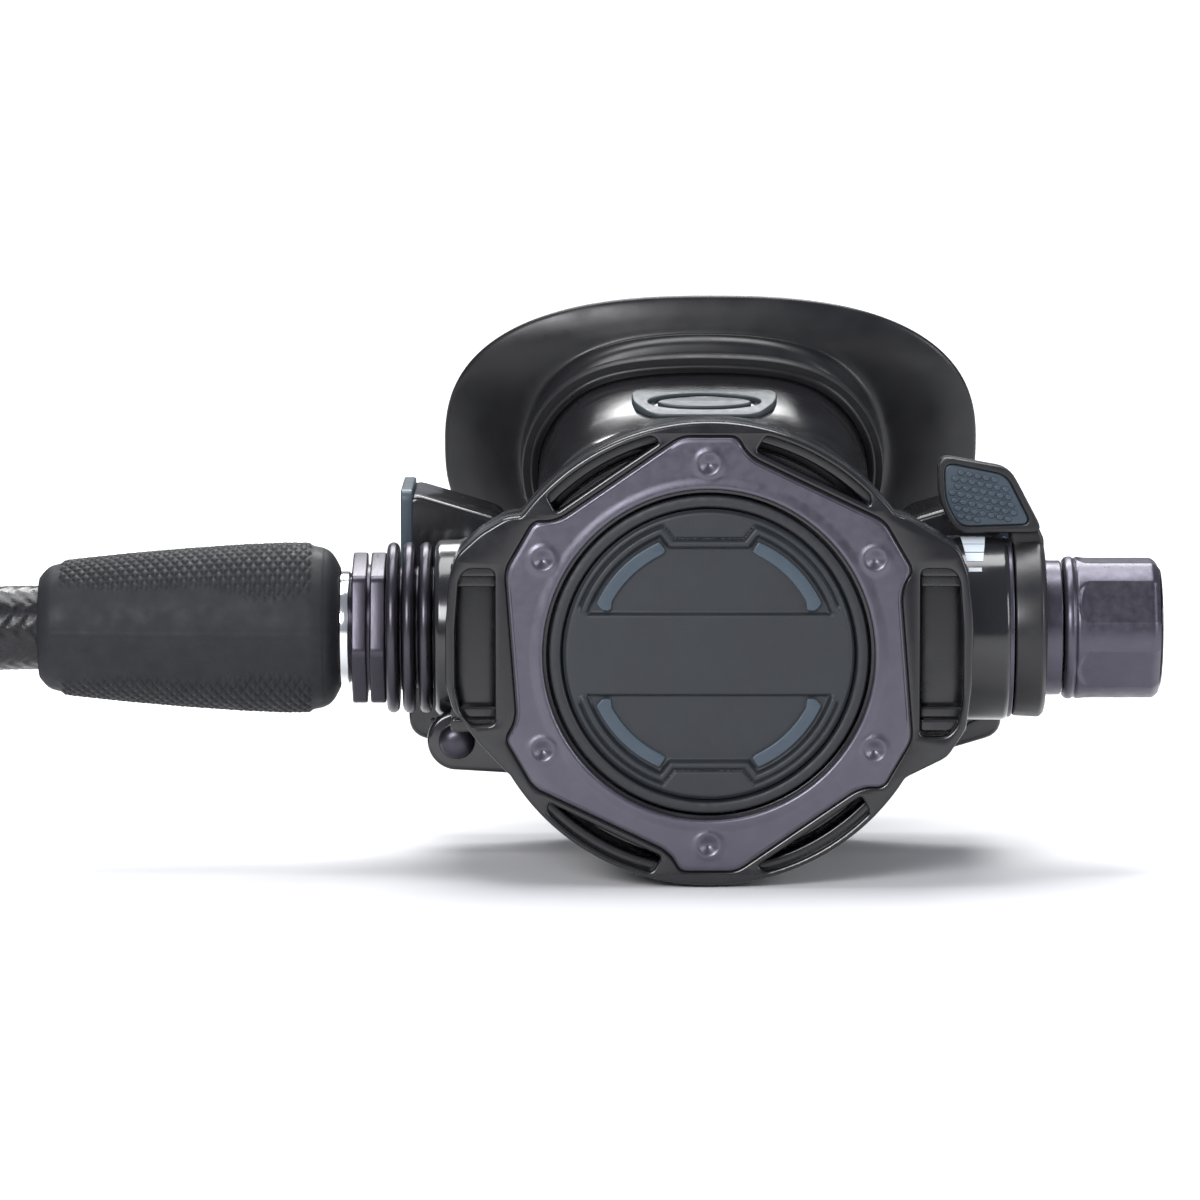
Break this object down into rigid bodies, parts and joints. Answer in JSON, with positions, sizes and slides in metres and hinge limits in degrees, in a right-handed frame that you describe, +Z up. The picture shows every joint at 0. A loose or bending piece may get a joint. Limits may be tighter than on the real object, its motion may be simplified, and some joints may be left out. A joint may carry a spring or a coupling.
{
  "type": "scuba regulator second stage with hose",
  "caption": "Balanced scuba second stage with round purge cover, side knob, venturi lever, flared mouthpiece and a braided hose put away in a coil",
  "frame": {"origin": "on the surface it stands on, under the middle of the regulator's box without its free hose", "axes": "+X along the valve barrel from hose to knob, +Y from the purge cover to the mouthpiece, +Z up"},
  "size_m": [0.3025, 0.1438, 0.0758],
  "materials": {
    "case_plastic": "polished black moulded plastic",
    "black_plastic": "glossy black moulded plastic",
    "trim_metal": "satin violet-grey metal coating",
    "purge_outer": "fine leather-grained elastomer",
    "purge_plate": "satin moulded elastomer",
    "slate_accent": "slate-blue moulded plastic",
    "spring_steel": "drawn stainless wire",
    "silicone": "clear-black silicone",
    "stiff_disc": "grey acetal",
    "stainless": "turned stainless steel",
    "barrel_metal": "chromed brass",
    "seal_rubber": "black nitrile",
    "knob_metal": "satin violet-grey anodised aluminium",
    "gunmetal": "violet-grey metal coating, polished",
    "brass": "turned brass",
    "white_plastic": "natural acetal",
    "index_white": "printed white marks",
    "badge": "grey-teal moulded plastic",
    "mouth_silicone": "satin black silicone",
    "clamp_plastic": "nylon strap",
    "ferrule_chrome": "polished chrome",
    "grip_rubber": "matt black rubber",
    "hose_braid": "tight glossy black herringbone braid",
    "tie": "woven hook-and-loop strap"
  },
  "bodies": {
    "case": {"case_body": "case_plastic", "front_cover": "black_plastic", "trim_ring": "trim_metal", "purge_spring": "spring_steel", "diaphragm": "silicone", "diaphragm_ring": "black_plastic", "lever_pin": "stainless", "valve_barrel": "barrel_metal", "barrel_orings": "seal_rubber", "barrel_nut": "knob_metal", "inlet_fitting": "gunmetal", "orifice": "brass", "orifice_oring": "seal_rubber", "poppet_spring": "spring_steel", "knob_retainer": "barrel_metal", "venturi_scale": "index_white", "top_badge": "badge", "cover_lock_pin": "gunmetal", "mouthpiece": "mouth_silicone", "mouthpiece_clamp": "clamp_plastic", "exhaust_seat": "black_plastic", "exhaust_deflector": "black_plastic", "deflector_lips": "slate_accent", "hose_swivel_nut": "gunmetal", "hose_ferrule": "ferrule_chrome", "hose_nipple": "brass", "hose_oring": "seal_rubber", "hose_protector": "grip_rubber", "hose_run": "hose_braid", "hose_coil": "hose_braid", "hose_tail": "hose_braid", "hose_tie": "tie", "hose_end_ferrule": "ferrule_chrome", "hose_end_fitting": "ferrule_chrome", "hose_end_oring": "seal_rubber"},
    "purge": {"purge_button": "purge_outer", "purge_face": "purge_plate", "purge_accents": "slate_accent"},
    "diaphragm_centre": {"diaphragm_plate": "stiff_disc"},
    "demand_lever": {"lever": "stainless"},
    "poppet_valve": {"poppet": "white_plastic", "poppet_seat": "seal_rubber"},
    "adjuster": {"spring_adjuster": "barrel_metal", "balance_plug": "brass", "balance_oring": "seal_rubber", "adjuster_oring": "seal_rubber"},
    "adjusting_knob": {"knob": "knob_metal", "knob_cap": "black_plastic", "knob_shaft": "stainless", "knob_screw": "stainless"},
    "venturi": {"venturi_lever": "black_plastic", "venturi_pad": "slate_accent"},
    "vane": {"venturi_vane": "stiff_disc"},
    "exhaust_flap": {"exhaust_valve": "silicone"}
  },
  "joints": [
    {"name": "purge_press", "type": "slide", "parent": "case", "child": "purge", "axis": [0, 1, 0], "range_m": [0, 0.003], "stiffness_N_per_m": 400, "deforming": ["purge_spring", "diaphragm"]},
    {"name": "diaphragm_travel", "type": "slide", "parent": "case", "child": "diaphragm_centre", "axis": [0, 1, 0], "range_m": [0, 0.003]},
    {"name": "lever_tilt", "type": "hinge", "parent": "case", "child": "demand_lever", "pos_m": [0.0307, -0.02943, 0.033], "axis": [0, 0, 1], "range_deg": [-10.8, 0]},
    {"name": "poppet_slide", "type": "slide", "parent": "case", "child": "poppet_valve", "axis": [1, 0, 0], "range_m": [0, 0.00066], "deforming": ["poppet_spring"]},
    {"name": "knob_turn", "type": "hinge", "parent": "case", "child": "adjusting_knob", "pos_m": [0.0636, -0.01923, 0.033], "axis": [1, 0, 0], "range_deg": [0, 720]},
    {"name": "adjuster_travel", "type": "slide", "parent": "case", "child": "adjuster", "axis": [1, 0, 0], "range_m": [0, 0.00201]},
    {"name": "venturi_swing", "type": "hinge", "parent": "case", "child": "venturi", "pos_m": [0.0567, -0.01923, 0.033], "axis": [1, 0, 0], "range_deg": [-24, 20]},
    {"name": "vane_swing", "type": "hinge", "parent": "case", "child": "vane", "pos_m": [0.0147, -0.00223, 0.05], "axis": [1, 0, 0], "range_deg": [-24, 20]},
    {"name": "exhaust_lift", "type": "slide", "parent": "case", "child": "exhaust_flap", "axis": [0, 1, 0], "range_m": [0, 0.0015], "stiffness_N_per_m": 30}
  ],
  "couplings": [
    {"joint": "diaphragm_travel", "follows": "purge_press", "ratio": 1},
    {"joint": "lever_tilt", "follows": "purge_press", "rad_per_m": -62.5},
    {"joint": "poppet_slide", "follows": "purge_press", "ratio": 0.21875},
    {"joint": "adjuster_travel", "follows": "knob_turn", "m_per_rad": 0.00015915},
    {"joint": "vane_swing", "follows": "venturi_swing", "ratio": 1}
  ]
}
